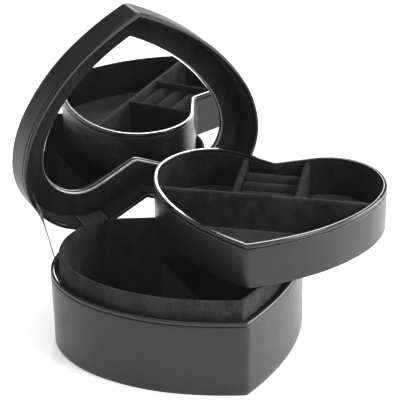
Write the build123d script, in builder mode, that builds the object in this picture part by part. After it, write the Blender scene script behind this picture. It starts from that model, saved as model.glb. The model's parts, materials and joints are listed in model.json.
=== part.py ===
from build123d import *
import math
import os

# Heart shaped jewellery gift box, shown open: a base with a raised velvet collar and
# four compartments, a ring tray lying askew on the collar, and a lid with a mirror.
# Millimetres.  Origin at the centre of the underside, +Z up, tip of the heart towards
# -Y, the two lobes and the hinge towards +Y.

# ---- heart outline: tangent arcs from the tip round one lobe to the cleft ----
TIP_Y = -76.2
TIP_HEADING = 66.5
HEART_ARCS = [(208.0, 13.0), (141.0, 23.6), (80.0, 24.2), (49.0, 120.3)]

# ---- sheet thicknesses ----
LEATHER = 0.8
BOARD = 2.0
VELVET = 0.5
GAP = 0.3
GLUE_GAP = 0.15

# ---- rims: a round bead with a fine groove under it ----
BEAD_HEIGHT = 2.6
BEAD_WIDTH = LEATHER + BOARD
BEAD_ROUND = 1.1
GROOVE = 0.5

# ---- base ----
RIM_Z = 56.4
FELT = 0.8
FELT_INSET = 0.6
FLOOR_BOARD = 2.0
COLLAR_TOP_Z = 68.8
COLLAR_INSET = 6.1
COLLAR_BOARD = 1.6
SPACER_TOP_Z = 49.8
PAD = 3.0
BASE_DIVIDER = 3.0
BASE_DIVIDER_TOP_Z = 34.0
CROSS_Y = 5.0

# ---- tray ----
TRAY_X = 47.6
TRAY_Y = -8.6
TRAY_TURN = -37.7
TRAY_BOTTOM_Z = 71.0
TRAY_HEIGHT = 32.2
TRAY_INSET = 9.7
UNDER_COVER = 1.9
UNDER_COVER_STEP = 4.0
TRAY_PAD = 4.0
TRAY_DIVIDER = 4.0
TRAY_DIVIDER_TOP = 30.4
LONG_DIVIDER_Y = 6.0
SIDE_DIVIDER_X = 21.5
ROLL_WIDTH = 13.0
ROLL_PITCH = 13.2
ROLL_TOP = 26.8
ROLL_COUNT = 3

# ---- lid ----
LID_OPEN = 91.0
HINGE_Y = 77.2
HINGE_Z = 59.6
CLOSED_RIM_Z = RIM_Z + GAP
LID_DEPTH = 24.8
LID_LINING = 0.8
PANEL_DEPTH = 17.3
PANEL = 4.4
PANEL_OPENING_INSET = 20.5
MIRROR_DEPTH = 20.3
MIRROR_BEVEL = 0.9
BACKING_CARD = 0.6
TOP_ROUND = 1.6

# ---- hinge straps and ribbon stay ----
STRAP_X = 40.0
STRAP_WIDTH = 18.0
STRAP = 0.6
STRAP_UP = 9.0
STRAP_ON_LID = 11.0
RIBBON_WIDTH = 5.0
RIBBON = 0.5
RIBBON_FOOT = (-77.7, 50.0, 50.6)
RIBBON_HEAD = (-84.6, 74.0, 96.4)
RIBBON_TAB_LENGTH = 8.0

# Worked out from the sizes above.
WALL_INSET = LEATHER
WALL_INNER = LEATHER + BOARD
FLOOR_TOP_Z = FELT + FLOOR_BOARD
COLLAR_INNER = COLLAR_INSET + 2 * VELVET + COLLAR_BOARD
TRAY_WALL_INNER = TRAY_INSET + LEATHER + BOARD
TRAY_LINED = TRAY_WALL_INNER + VELVET
BIG = 400.0


def turned_about_hinge(y, z, angle):
    """A point of the closed lid, carried round the hinge by the opening angle."""
    turn = math.radians(angle)
    dy = y - HINGE_Y
    dz = z - HINGE_Z
    return (
        HINGE_Y + dy * math.cos(turn) + dz * math.sin(turn),
        HINGE_Z - dy * math.sin(turn) + dz * math.cos(turn),
    )


LID_ORIGIN = turned_about_hinge(0, CLOSED_RIM_Z, LID_OPEN)
LID_PLANE = Plane(
    origin=(0, *LID_ORIGIN),
    x_dir=(1, 0, 0),
    z_dir=(0, math.sin(math.radians(LID_OPEN)), math.cos(math.radians(LID_OPEN))),
)
LID_AXIS = Axis(LID_PLANE.origin, LID_PLANE.z_dir)
TRAY_PLANE = Plane(
    origin=(TRAY_X, TRAY_Y, TRAY_BOTTOM_Z),
    x_dir=(math.cos(math.radians(TRAY_TURN)), math.sin(math.radians(TRAY_TURN)), 0),
    z_dir=(0, 0, 1),
)


def heart(inset):
    """The heart as a flat face, drawn inward from the outline by inset."""
    with BuildSketch(mode=Mode.PRIVATE) as face:
        with BuildLine():
            heading = math.radians(TIP_HEADING)
            end = Vector(0, TIP_Y)
            direction = Vector(math.sin(heading), math.cos(heading))
            for radius, sweep_angle in HEART_ARCS:
                arc = JernArc(start=end, tangent=direction, radius=radius, arc_size=sweep_angle)
                end = arc @ 1
                direction = arc % 1
            Line(end, end + direction * (-end.X / direction.X))
            mirror(about=Plane.YZ)
        make_face()
        if inset > 0:
            offset(amount=-inset, kind=Kind.INTERSECTION, mode=Mode.REPLACE)
    return face.sketch


def heart_slab(plane, inset, thickness):
    """Add a solid heart slab to the part being built."""
    with BuildSketch(plane) as profile:
        add(heart(inset))
    extrude(profile.sketch, amount=thickness)


def heart_ring(plane, outer, inner, height):
    """Add a heart shaped ring, between two insets, to the part being built."""
    with BuildSketch(plane) as profile:
        add(heart(outer))
        add(heart(inner), mode=Mode.SUBTRACT)
    extrude(profile.sketch, amount=height)


def heart_piece(plane, inset, centre, size, height):
    """Add the part of a heart slab that lies inside one rectangle."""
    with BuildSketch(plane) as profile:
        add(heart(inset))
        with Locations(centre):
            Rectangle(size[0], size[1], mode=Mode.INTERSECT)
    extrude(profile.sketch, amount=height)


def rim_bead(plane, inset):
    """Add the round bead that finishes a rim, its top BEAD_HEIGHT above the plane."""
    heart_ring(plane, inset, inset + BEAD_WIDTH, BEAD_HEIGHT)


def finish(piece, name):
    """Label a finished piece and write it to its own file."""
    piece.part.label = name
    export_step(piece.part, f"parts/{name}.step")


os.makedirs("parts", exist_ok=True)


# ---- base: felt foot, boards, leatherette wrap and rim bead ----
def level(z):
    """The horizontal plane at height z."""
    return Plane.XY.offset(z)


with BuildPart() as base_foot_felt:
    heart_slab(level(0), FELT_INSET, FELT)
finish(base_foot_felt, "base_foot_felt")

with BuildPart() as base_floor_board:
    heart_slab(level(FELT), WALL_INNER, FLOOR_BOARD)
finish(base_floor_board, "base_floor_board")

with BuildPart() as base_wall:
    heart_ring(level(FELT), WALL_INSET, WALL_INNER, RIM_Z - BEAD_HEIGHT - FELT)
finish(base_wall, "base_wall")

with BuildPart() as base_wrap:
    heart_ring(level(FELT), 0, LEATHER, RIM_Z - BEAD_HEIGHT - GROOVE - FELT)
finish(base_wrap, "base_wrap")

with BuildPart() as base_rim_bead:
    rim_bead(level(RIM_Z - BEAD_HEIGHT), 0)
    fillet(base_rim_bead.edges().filter_by(Plane.XY), BEAD_ROUND)
finish(base_rim_bead, "base_rim_bead")

# ---- raised collar: board covered with velvet, held off the wall by a spacer ----
COLLAR_BOARD_OUTER = COLLAR_INSET + VELVET
COLLAR_BOARD_INNER = COLLAR_BOARD_OUTER + COLLAR_BOARD
COLLAR_BOARD_TOP_Z = COLLAR_TOP_Z - VELVET

with BuildPart() as collar_spacer:
    heart_ring(level(FLOOR_TOP_Z), WALL_INNER, COLLAR_BOARD_OUTER, SPACER_TOP_Z - FLOOR_TOP_Z)
finish(collar_spacer, "collar_spacer")

with BuildPart() as collar_board:
    heart_ring(
        level(FLOOR_TOP_Z), COLLAR_BOARD_OUTER, COLLAR_BOARD_INNER, COLLAR_BOARD_TOP_Z - FLOOR_TOP_Z
    )
finish(collar_board, "collar_board")

with BuildPart() as collar_velvet:
    heart_ring(level(SPACER_TOP_Z), COLLAR_INSET, COLLAR_BOARD_OUTER, COLLAR_TOP_Z - SPACER_TOP_Z)
    heart_ring(level(COLLAR_BOARD_TOP_Z), COLLAR_INSET, COLLAR_INNER, VELVET)
    heart_ring(level(FLOOR_TOP_Z), COLLAR_BOARD_INNER, COLLAR_INNER, COLLAR_TOP_Z - FLOOR_TOP_Z)
finish(collar_velvet, "collar_velvet")

# ---- base dividers, halved together where they cross ----
DIVIDER_INSET = COLLAR_INNER + GLUE_GAP
DIVIDER_HEIGHT = BASE_DIVIDER_TOP_Z - FLOOR_TOP_Z
HALVING = DIVIDER_HEIGHT / 2

with BuildPart() as base_divider_long:
    heart_piece(level(FLOOR_TOP_Z), DIVIDER_INSET, (0, 0), (BASE_DIVIDER, BIG), DIVIDER_HEIGHT)
    with Locations((0, CROSS_Y, FLOOR_TOP_Z + HALVING)):
        Box(
            BASE_DIVIDER,
            BASE_DIVIDER,
            HALVING,
            align=(Align.CENTER, Align.CENTER, Align.MIN),
            mode=Mode.SUBTRACT,
        )
finish(base_divider_long, "base_divider_long")

with BuildPart() as base_divider_cross:
    heart_piece(
        level(FLOOR_TOP_Z), DIVIDER_INSET, (0, CROSS_Y), (BIG, BASE_DIVIDER), DIVIDER_HEIGHT
    )
    with Locations((0, CROSS_Y, FLOOR_TOP_Z)):
        Box(
            BASE_DIVIDER,
            BASE_DIVIDER,
            HALVING,
            align=(Align.CENTER, Align.CENTER, Align.MIN),
            mode=Mode.SUBTRACT,
        )
finish(base_divider_cross, "base_divider_cross")

# ---- four velvet floor pads, one in each compartment of the base ----
PAD_EDGE = BASE_DIVIDER / 2 + GLUE_GAP
for across, side in ((-1, "left"), (1, "right")):
    for along, end_name in ((-1, "front"), (1, "back")):
        corner_x = across * (PAD_EDGE + BIG / 2)
        corner_y = CROSS_Y + along * (PAD_EDGE + BIG / 2)
        with BuildPart() as base_pad:
            heart_piece(level(FLOOR_TOP_Z), DIVIDER_INSET, (corner_x, corner_y), (BIG, BIG), PAD)
        finish(base_pad, f"base_pad_{end_name}_{side}")


# ---- tray: under cover, boards, wrap, lining and rim bead ----
def tray_level(h):
    """The tray's own horizontal plane, h above its lower edge."""
    return TRAY_PLANE.offset(h)


with BuildPart() as tray_under_cover:
    heart_slab(tray_level(-UNDER_COVER), TRAY_INSET + UNDER_COVER_STEP, UNDER_COVER)
finish(tray_under_cover, "tray_under_cover")

with BuildPart() as tray_floor_board:
    heart_slab(tray_level(0), TRAY_WALL_INNER, BOARD)
finish(tray_floor_board, "tray_floor_board")

with BuildPart() as tray_wall:
    heart_ring(
        tray_level(0), TRAY_INSET + LEATHER, TRAY_WALL_INNER, TRAY_HEIGHT - BEAD_HEIGHT
    )
finish(tray_wall, "tray_wall")

with BuildPart() as tray_wrap:
    heart_ring(
        tray_level(0), TRAY_INSET, TRAY_INSET + LEATHER, TRAY_HEIGHT - BEAD_HEIGHT - GROOVE
    )
finish(tray_wrap, "tray_wrap")

with BuildPart() as tray_rim_bead:
    rim_bead(tray_level(TRAY_HEIGHT - BEAD_HEIGHT), TRAY_INSET)
    fillet(tray_rim_bead.edges().filter_by(Plane.XY), BEAD_ROUND)
finish(tray_rim_bead, "tray_rim_bead")

with BuildPart() as tray_lining:
    heart_ring(
        tray_level(BOARD), TRAY_WALL_INNER, TRAY_LINED, TRAY_HEIGHT - BEAD_HEIGHT - BOARD
    )
finish(tray_lining, "tray_lining")

# ---- tray dividers: one across the heart, two running back to the lobes ----
TRAY_FIT = TRAY_LINED + GLUE_GAP
DIVIDER_RISE = TRAY_DIVIDER_TOP - BOARD
LONG_BACK_FACE = LONG_DIVIDER_Y + TRAY_DIVIDER / 2

with BuildPart() as tray_divider_long:
    heart_piece(
        tray_level(BOARD), TRAY_FIT, (0, LONG_DIVIDER_Y), (BIG, TRAY_DIVIDER), DIVIDER_RISE
    )
finish(tray_divider_long, "tray_divider_long")

for across, side in ((-1, "left"), (1, "right")):
    with BuildPart() as tray_divider_side:
        heart_piece(
            tray_level(BOARD),
            TRAY_FIT,
            (across * SIDE_DIVIDER_X, LONG_BACK_FACE + BIG / 2),
            (TRAY_DIVIDER, BIG),
            DIVIDER_RISE,
        )
    finish(tray_divider_side, f"tray_divider_{side}")

# ---- tray floor pads: both lobes and the wide front compartment ----
LOBE_EDGE_X = SIDE_DIVIDER_X + TRAY_DIVIDER / 2 + GLUE_GAP
LOBE_EDGE_Y = LONG_BACK_FACE + GLUE_GAP
FRONT_EDGE_Y = LONG_DIVIDER_Y - TRAY_DIVIDER / 2 - GLUE_GAP
TRAY_PADS = {
    "tray_pad_left": ((-LOBE_EDGE_X - BIG / 2, LOBE_EDGE_Y + BIG / 2), (BIG, BIG)),
    "tray_pad_right": ((LOBE_EDGE_X + BIG / 2, LOBE_EDGE_Y + BIG / 2), (BIG, BIG)),
    "tray_pad_front": ((0, FRONT_EDGE_Y - BIG / 2), (BIG, BIG)),
}
for name, (centre, size) in TRAY_PADS.items():
    with BuildPart() as tray_pad:
        heart_piece(tray_level(BOARD), TRAY_FIT, centre, size, TRAY_PAD)
    finish(tray_pad, name)

# ---- ring rolls: foam strips with a round top, side by side between the dividers ----
ROLL_LENGTH = 2 * (SIDE_DIVIDER_X - TRAY_DIVIDER / 2 - GLUE_GAP)
ROLL_ROUND = ROLL_WIDTH / 2
ROLL_STRAIGHT = ROLL_TOP - BOARD - ROLL_ROUND
for number in range(ROLL_COUNT):
    roll_y = LONG_BACK_FACE + GLUE_GAP + ROLL_WIDTH / 2 + number * ROLL_PITCH
    roll_start = TRAY_PLANE.from_local_coords((-ROLL_LENGTH / 2, roll_y, BOARD))
    roll_end_plane = Plane(origin=roll_start, x_dir=TRAY_PLANE.y_dir, z_dir=TRAY_PLANE.x_dir)
    with BuildPart() as ring_roll:
        with BuildSketch(roll_end_plane):
            Rectangle(ROLL_WIDTH, ROLL_STRAIGHT, align=(Align.CENTER, Align.MIN))
            with Locations((0, ROLL_STRAIGHT)):
                Circle(ROLL_ROUND)
        extrude(amount=ROLL_LENGTH)
    finish(ring_roll, f"ring_roll_{number + 1}")


# ---- lid: boards, wrap, lining, rim bead; the mirror sits in a velvet panel ----
def lid_level(depth):
    """The lid's own plane, depth behind its rim."""
    return LID_PLANE.offset(depth)


TOP_BOARD_DEPTH = PANEL_DEPTH + PANEL + BACKING_CARD
TOP_SKIN_DEPTH = LID_DEPTH - LEATHER

with BuildPart() as lid_wall:
    heart_ring(lid_level(BEAD_HEIGHT), WALL_INSET, WALL_INNER, TOP_SKIN_DEPTH - BEAD_HEIGHT)
finish(lid_wall, "lid_wall")

with BuildPart() as lid_wrap:
    heart_slab(lid_level(BEAD_HEIGHT + GROOVE), 0, LID_DEPTH - BEAD_HEIGHT - GROOVE)
    lid_back_edges = lid_wrap.faces().sort_by(LID_AXIS)[-1].edges()
    fillet(lid_back_edges, TOP_ROUND / 2)
    with BuildSketch(lid_level(BEAD_HEIGHT + GROOVE)):
        add(heart(LEATHER))
    extrude(amount=TOP_SKIN_DEPTH - BEAD_HEIGHT - GROOVE, mode=Mode.SUBTRACT)
finish(lid_wrap, "lid_wrap")

with BuildPart() as lid_rim_bead:
    rim_bead(lid_level(0), 0)
    fillet(lid_rim_bead.edges().filter_by(LID_PLANE), BEAD_ROUND)
finish(lid_rim_bead, "lid_rim_bead")

with BuildPart() as lid_lining:
    heart_ring(
        lid_level(BEAD_HEIGHT), WALL_INNER, WALL_INNER + LID_LINING, PANEL_DEPTH - BEAD_HEIGHT
    )
finish(lid_lining, "lid_lining")

with BuildPart() as mirror_panel:
    heart_ring(lid_level(PANEL_DEPTH), WALL_INNER, PANEL_OPENING_INSET, PANEL)
finish(mirror_panel, "mirror_panel")

with BuildPart() as mirror_pane:
    heart_slab(
        lid_level(MIRROR_DEPTH), PANEL_OPENING_INSET + GAP, PANEL_DEPTH + PANEL - MIRROR_DEPTH
    )
    mirror_front_edges = mirror_pane.faces().sort_by(LID_AXIS)[0].edges()
    chamfer(mirror_front_edges, MIRROR_BEVEL / 2, MIRROR_BEVEL)
finish(mirror_pane, "mirror_pane")

with BuildPart() as mirror_backing_card:
    heart_slab(lid_level(PANEL_DEPTH + PANEL), WALL_INNER, BACKING_CARD)
finish(mirror_backing_card, "mirror_backing_card")

with BuildPart() as lid_top_board:
    heart_slab(lid_level(TOP_BOARD_DEPTH), WALL_INNER, TOP_SKIN_DEPTH - TOP_BOARD_DEPTH)
finish(lid_top_board, "lid_top_board")

# ---- cloth hinge straps: one half glued inside the base wall, one on the lid lining ----
STRAP_OUTER = WALL_INNER + 0.1
LID_STRAP_OUTER = WALL_INNER + LID_LINING + 0.05
for across, side in ((-1, "left"), (1, "right")):
    with BuildPart() as strap_base_half:
        with BuildSketch(level(SPACER_TOP_Z + GLUE_GAP)):
            add(heart(STRAP_OUTER))
            add(heart(STRAP_OUTER + STRAP), mode=Mode.SUBTRACT)
            with Locations((across * STRAP_X, BIG / 2)):
                Rectangle(STRAP_WIDTH, BIG, mode=Mode.INTERSECT)
        extrude(amount=STRAP_UP)
    finish(strap_base_half, f"hinge_strap_{side}_base_half")
    with BuildPart() as strap_lid_half:
        with BuildSketch(lid_level(BEAD_HEIGHT + GAP)):
            add(heart(LID_STRAP_OUTER))
            add(heart(LID_STRAP_OUTER + STRAP), mode=Mode.SUBTRACT)
            with Locations((across * STRAP_X, BIG / 2)):
                Rectangle(STRAP_WIDTH, BIG, mode=Mode.INTERSECT)
        extrude(amount=STRAP_ON_LID)
    finish(strap_lid_half, f"hinge_strap_{side}_lid_half")

# ---- ribbon stay: from the gap beside the collar up to the lid, with a glued tab ----
ribbon_run = Vector(*RIBBON_HEAD) - Vector(*RIBBON_FOOT)
ribbon_flat = Vector(0.53, 0.85, 0)
ribbon_plane = Plane(origin=RIBBON_FOOT, x_dir=ribbon_flat.cross(ribbon_run), z_dir=ribbon_run)
with BuildPart() as stay_ribbon:
    with BuildSketch(ribbon_plane):
        Rectangle(RIBBON, RIBBON_WIDTH)
    extrude(amount=ribbon_run.length)
finish(stay_ribbon, "stay_ribbon")

RIBBON_TAB_Y = 37.5
with BuildPart() as stay_ribbon_lid_tab:
    with BuildSketch(lid_level(BEAD_HEIGHT + GAP)):
        add(heart(LID_STRAP_OUTER))
        add(heart(LID_STRAP_OUTER + RIBBON), mode=Mode.SUBTRACT)
        with Locations((-BIG / 2, RIBBON_TAB_Y)):
            Rectangle(BIG, RIBBON_WIDTH, mode=Mode.INTERSECT)
    extrude(amount=RIBBON_TAB_LENGTH)
finish(stay_ribbon_lid_tab, "stay_ribbon_lid_tab")
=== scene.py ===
import json
import math

import bpy
import numpy as np
from mathutils import Matrix, Vector, noise
from mathutils.geometry import delaunay_2d_cdt


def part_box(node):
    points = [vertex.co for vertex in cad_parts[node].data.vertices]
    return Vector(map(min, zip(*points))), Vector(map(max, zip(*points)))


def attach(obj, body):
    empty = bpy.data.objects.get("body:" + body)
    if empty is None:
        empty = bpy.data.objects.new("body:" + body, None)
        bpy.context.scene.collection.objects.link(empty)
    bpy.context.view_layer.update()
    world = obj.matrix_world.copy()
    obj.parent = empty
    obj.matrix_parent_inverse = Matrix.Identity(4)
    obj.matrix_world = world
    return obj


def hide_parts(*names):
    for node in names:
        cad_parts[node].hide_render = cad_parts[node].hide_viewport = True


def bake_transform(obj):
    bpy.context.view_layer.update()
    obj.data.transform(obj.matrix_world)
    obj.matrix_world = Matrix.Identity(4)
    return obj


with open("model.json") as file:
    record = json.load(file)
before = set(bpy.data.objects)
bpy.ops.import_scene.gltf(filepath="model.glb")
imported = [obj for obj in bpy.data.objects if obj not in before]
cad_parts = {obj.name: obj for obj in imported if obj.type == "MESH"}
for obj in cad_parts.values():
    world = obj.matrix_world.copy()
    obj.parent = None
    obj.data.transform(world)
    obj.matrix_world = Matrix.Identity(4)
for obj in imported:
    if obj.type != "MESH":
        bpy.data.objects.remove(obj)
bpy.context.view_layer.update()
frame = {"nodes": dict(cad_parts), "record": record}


# Viewpoint: a long lens a good metre away, from the front left and about 28 degrees up.
# The slight roll is the tilt of the stand the box was looked at from.
VIEW_TURN, VIEW_RISE, VIEW_ROLL = math.radians(-26.0), math.radians(28.65), math.radians(-0.91)
VIEW_DISTANCE = 1.0433
VIEW_TARGET = Vector((0.0089, 0.0083, 0.1025))
LENS = 141.1
FILM_WIDTH = 36.0
FARTHEST = 20.0


def aim_camera():
    """Set up the camera and make it the scene's own."""
    level = math.cos(VIEW_RISE)
    back = Vector((math.sin(VIEW_TURN) * level, -math.cos(VIEW_TURN) * level, math.sin(VIEW_RISE)))
    level_right = Vector((math.cos(VIEW_TURN), math.sin(VIEW_TURN), 0))
    level_up = back.cross(level_right)
    right = level_right * math.cos(VIEW_ROLL) + level_up * math.sin(VIEW_ROLL)
    up = back.cross(right)
    camera = bpy.data.objects.new("camera", bpy.data.cameras.new("camera"))
    bpy.context.scene.collection.objects.link(camera)
    camera.matrix_world = Matrix.Translation(VIEW_TARGET + back * VIEW_DISTANCE) @ Matrix(
        (right, up, back)
    ).transposed().to_4x4()
    camera.data.lens = LENS
    camera.data.sensor_width = FILM_WIDTH
    camera.data.clip_end = FARTHEST
    bpy.context.scene.camera = camera


aim_camera()


# Base wall: fibre board bent to a heart and glued into a hoop. The same template, drawn
# smaller or larger by an inset, cuts every board, cover and pad of the box.
TIP_Y = -0.0762
TIP_HEADING = math.radians(66.5)
HEART_ARCS = ((0.208, 13.0), (0.141, 23.6), (0.080, 24.2), (0.049, 120.3))
CLEFT_SLOPE = sum(sweep for _, sweep in HEART_ARCS) - 90.0 - 66.5
ARC_STEPS = (26, 22, 16, 54)
STRAIGHT_STEPS = 20
CORNER_STEPS = 6
SHARP_TIP = 0.0004
SHARP_CLEFT = 0.0006
BOARD = 0.002
TRAY_INSET = 0.0097
TRAY_TURN = math.radians(-37.7)
LID_TURN = math.radians(-91.0)
RIM_GAP = 0.0003


def half_heart(inset, tip_round=SHARP_TIP, cleft_round=SHARP_CLEFT):
    """Points of the right half of the heart, from the tip on the middle line to the cleft."""
    heading = TIP_HEADING
    start = np.array([0.0, TIP_Y])
    points = []
    for number, ((radius, sweep), steps) in enumerate(zip(HEART_ARCS, ARC_STEPS)):
        centre = start + radius * np.array([-math.cos(heading), math.sin(heading)])
        first, last = heading, heading - math.radians(sweep)
        r = radius - inset
        if number == 0:
            reach = r - tip_round
            corner_y = centre[1] - math.sqrt(reach**2 - centre[0] ** 2)
            first = math.atan2(centre[1] - corner_y, -centre[0])
            for k in range(CORNER_STEPS):
                turn = (math.pi / 2) * (1 - k / CORNER_STEPS) + first * (k / CORNER_STEPS)
                points.append([tip_round * math.cos(turn), corner_y - tip_round * math.sin(turn)])
        for k in range(steps):
            turn = first + (last - first) * k / steps
            points.append([centre[0] + r * math.cos(turn), centre[1] - r * math.sin(turn)])
        start = centre + radius * np.array([math.cos(last), -math.sin(last)])
        heading = last
    end = centre + r * np.array([math.cos(last), -math.sin(last)])
    along = np.array([math.sin(heading), math.cos(heading)])
    cleft = end + along * (-end[0] / along[0])
    slope = math.radians(CLEFT_SLOPE)
    touch = cleft - along * cleft_round * math.tan(slope)
    points += [list(end + (touch - end) * k / STRAIGHT_STEPS) for k in range(STRAIGHT_STEPS)]
    corner_y = cleft[1] + cleft_round / math.cos(slope)
    for k in range(CORNER_STEPS + 1):
        turn = slope * (1 - k / CORNER_STEPS)
        points.append([cleft_round * math.sin(turn), corner_y - cleft_round * math.cos(turn)])
    return np.array(points)


def heart_loop(inset, tip_round=SHARP_TIP, cleft_round=SHARP_CLEFT):
    """The whole heart as a closed loop, anticlockwise from the tip."""
    right = half_heart(inset, tip_round, cleft_round)
    left = right[1:-1][::-1] * [-1, 1]
    return np.vstack([right, left])


def heart_seat(name):
    """Where a heart of the box sits: its own x, y and height axes in the row frame."""
    if name == "base":
        return Matrix.Identity(4)
    if name == "tray":
        turn = Matrix.Rotation(TRAY_TURN, 4, "Z")
        loop = heart_loop(TRAY_INSET) @ np.array(turn.to_3x3())[:2, :2].T
        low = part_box("tray_wrap")[0]
        shift = Vector((low.x - loop[:, 0].min(), low.y - loop[:, 1].min(), low.z))
        return Matrix.Translation(shift) @ turn
    hinge = Vector(frame["record"]["behaviour"]["joints"][0]["pos_m"])
    closed = Matrix.Translation((0, 0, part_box("base_rim_bead")[1].z + RIM_GAP))
    opened = Matrix.Rotation(LID_TURN, 4, "X")
    return Matrix.Translation(hinge) @ opened @ Matrix.Translation(-hinge) @ closed


SEAT = {name: heart_seat(name) for name in ("base", "tray", "lid")}


def new_finish(name, colour, roughness, metallic=0.0):
    """A new material with its shader, ready for the nodes that give it grain."""
    finish = bpy.data.materials.new(name)
    finish.use_nodes = True
    shader = finish.node_tree.nodes["Principled BSDF"]
    shader.inputs["Base Color"].default_value = (*colour, 1)
    shader.inputs["Roughness"].default_value = roughness
    shader.inputs["Metallic"].default_value = metallic
    return finish, finish.node_tree, shader


def grain(tree, scale, detail=3.0, stretch=(1, 1, 1), lean=(0, 0, 0), kind="ShaderNodeTexNoise"):
    """A texture laid through the piece in metres; gives its value output."""
    place = tree.nodes.new("ShaderNodeTexCoord")
    spread = tree.nodes.new("ShaderNodeMapping")
    spread.inputs["Scale"].default_value = stretch
    spread.inputs["Rotation"].default_value = lean
    tree.links.new(place.outputs["Object"], spread.inputs["Vector"])
    texture = tree.nodes.new(kind)
    texture.inputs["Scale"].default_value = scale
    if "Detail" in texture.inputs:
        texture.inputs["Detail"].default_value = detail
    tree.links.new(spread.outputs["Vector"], texture.inputs["Vector"])
    return texture.outputs["Distance" if kind == "ShaderNodeTexVoronoi" else 0]


def between(tree, value, low, high, start=0.3, stop=0.7):
    """Spread a texture's value over a range of numbers."""
    spread = tree.nodes.new("ShaderNodeMapRange")
    tree.links.new(value, spread.inputs["Value"])
    for socket, number in zip(("From Min", "From Max", "To Min", "To Max"), (start, stop, low, high)):
        spread.inputs[socket].default_value = number
    return spread.outputs["Result"]


def two_tone(tree, value, dark, light, start=0.35, stop=0.65):
    """Colour that runs from dark to light with a texture's value."""
    ramp = tree.nodes.new("ShaderNodeValToRGB")
    ramp.color_ramp.elements[0].color = (*dark, 1)
    ramp.color_ramp.elements[1].color = (*light, 1)
    ramp.color_ramp.elements[0].position = start
    ramp.color_ramp.elements[1].position = stop
    tree.links.new(value, ramp.inputs["Fac"])
    return ramp.outputs["Color"]


def paint(tree, shader, *tones):
    """Let a texture run the shader's colour from dark to light."""
    tree.links.new(two_tone(tree, *tones), shader.inputs["Base Color"])


def relief(tree, shader, layers):
    """Raise the surface by several textures, each with its own height in metres."""
    normal = None
    for value, height in layers:
        bump = tree.nodes.new("ShaderNodeBump")
        bump.inputs["Distance"].default_value = height
        tree.links.new(value, bump.inputs["Height"])
        if normal:
            tree.links.new(normal, bump.inputs["Normal"])
        normal = bump.outputs["Normal"]
    tree.links.new(normal, shader.inputs["Normal"])


def fibre_board(name, dark, light):
    """Pressed board: fine flecks of fibre in a dull matt face."""
    finish, tree, shader = new_finish(name, dark, 0.85)
    fleck = grain(tree, 900, 6.0, (1, 1, 3))
    paint(tree, shader, fleck, dark, light)
    relief(tree, shader, [(fleck, 0.00006)])
    return finish


black_board = fibre_board("black_board", (0.012, 0.012, 0.012), (0.022, 0.021, 0.02))
grey_card = fibre_board("grey_card", (0.05, 0.05, 0.048), (0.09, 0.088, 0.085))


def cover(node, finish):
    """Give a CAD board its finish."""
    frame["nodes"][node].data.materials.clear()
    frame["nodes"][node].data.materials.append(finish)


for part in ("base", "tray", "lid"):
    cover(f"{part}_wall", black_board)
    cover(f"{part}_top_board" if part == "lid" else f"{part}_floor_board", black_board)
cover("mirror_backing_card", grey_card)


# Felt foot: a thin black felt heart glued under the base, so that it slides softly.
# It stays as the CAD has it and takes a fibrous finish.
def black_felt():
    """Pressed wool felt: tangled fibres, very matt."""
    finish, tree, shader = new_finish("black_felt", (0.02, 0.02, 0.02), 0.95)
    fibre = grain(tree, 2600, 8.0)
    paint(tree, shader, fibre, (0.01, 0.01, 0.01), (0.045, 0.045, 0.045))
    relief(tree, shader, [(fibre, 0.0002)])
    shader.inputs["Sheen Weight"].default_value = 0.3
    return finish


felt = black_felt()
cover("base_foot_felt", felt)


# Leatherette wrap of the base: thin black coated cloth, stretched round the board and
# glued, its ends lapped in the cleft. It pulls a little hollow between the glued edges.
LEATHER = 0.0008
BEAD_HEIGHT = 0.0026
GROOVE = 0.0005
LAP_STEP = 0.00035
LAP_START = 0.006
LAP_RAMP = 0.0008
LAP_WIDTH = 0.010
LOBES_START_Y = 0.05
RIPPLE = 0.00022
WRAP_TIP = 0.006
CLEFT_ROUND = 0.002


def leatherette(name, roughness, lift, coat=0.08, shine=0.5):
    """Coated cloth with a fine pebble grain, a satin skin, pull marks and a few broad ripples.

    lift scales the relief, coat is the rubbed top gloss and shine the strength of the skin's own."""
    finish, tree, shader = new_finish(name, (0.012, 0.012, 0.0125), roughness)
    pebble = grain(tree, 1000, kind="ShaderNodeTexVoronoi")
    pores = grain(tree, 2400, 4.0)
    ripple = grain(tree, 42, 2.0, (1, 1, 0.6))
    pull = grain(tree, 210, 3.0, (0.35, 0.35, 2.2), (0.5, 0.35, 0))
    cloud = grain(tree, 22, 3.0)
    paint(tree, shader, cloud, (0.006, 0.006, 0.0063), (0.012, 0.012, 0.0124))
    tree.links.new(between(tree, pull, roughness - 0.03, roughness + 0.04), shader.inputs["Roughness"])
    layers = [(ripple, 0.0005), (pull, 0.00002), (pebble, 0.00007), (pores, 0.00003)]
    relief(tree, shader, [(value, height * lift) for value, height in layers])
    shader.inputs["IOR"].default_value = 1.45
    shader.inputs["Specular IOR Level"].default_value = shine
    shader.inputs["Coat Weight"].default_value = coat
    shader.inputs["Coat Roughness"].default_value = 0.12
    return finish


leather = leatherette("black_leatherette", 0.29, 1.0)


def dress(piece, finish, body):
    """Finish, body and material slot of a piece, with smooth faces."""
    piece.data.materials.append(finish)
    piece.data.polygons.foreach_set("use_smooth", [True] * len(piece.data.polygons))
    piece.data.update()
    if body:
        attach(piece, body)


def mesh_piece(name, points, faces):
    """A new object from points and faces."""
    mesh = bpy.data.meshes.new(name)
    mesh.from_pydata([tuple(p) for p in points], [], faces)
    mesh.validate()
    piece = bpy.data.objects.new(name, mesh)
    bpy.context.scene.collection.objects.link(piece)
    return piece


def skin_faces(rows, count, ring=True):
    """Four-sided faces that join rows of count points; a ring's last point meets its first."""
    faces = []
    for low in range(0, (rows - 1) * count, count):
        high = low + count
        for k in range(count if ring else count - 1):
            ahead = (k + 1) % count
            faces.append((low + k, low + ahead, high + ahead, high + k))
    return faces


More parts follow.
